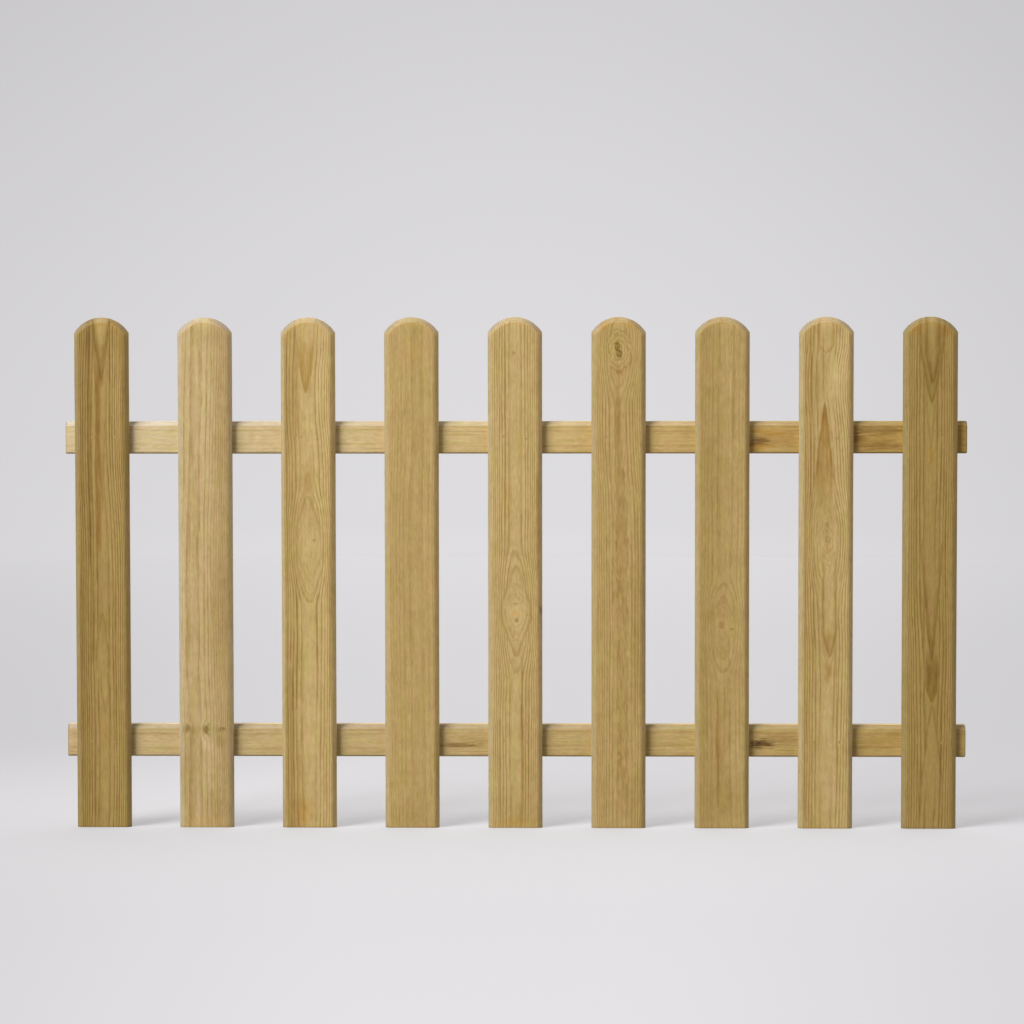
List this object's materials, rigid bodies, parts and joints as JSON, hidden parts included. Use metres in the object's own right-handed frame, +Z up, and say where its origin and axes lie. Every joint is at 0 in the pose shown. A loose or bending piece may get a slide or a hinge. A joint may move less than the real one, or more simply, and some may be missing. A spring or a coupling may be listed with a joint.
{
  "type": "picket fence panel",
  "caption": "Straight wooden garden fence panel: upright pickets with bevelled, arched tops fixed across the front of two level rails.",
  "frame": {"origin": "middle of the lower rail's left-hand end face, as seen from the front", "axes": "+X along the fence from left to right, +Y from front to back, +Z up"},
  "size_m": [1.762, 0.048, 0.9999],
  "materials": {
    "picket_wood": "planed softwood, pressure treated, matt",
    "rail_wood": "planed softwood, pressure treated, matt"
  },
  "bodies": {
    "root": {"picket_1": "picket_wood", "picket_2": "picket_wood", "picket_3": "picket_wood", "picket_4": "picket_wood", "picket_5": "picket_wood", "picket_6": "picket_wood", "picket_7": "picket_wood", "picket_8": "picket_wood", "picket_9": "picket_wood", "upper_rail": "rail_wood", "lower_rail": "rail_wood"}
  },
  "joints": []
}
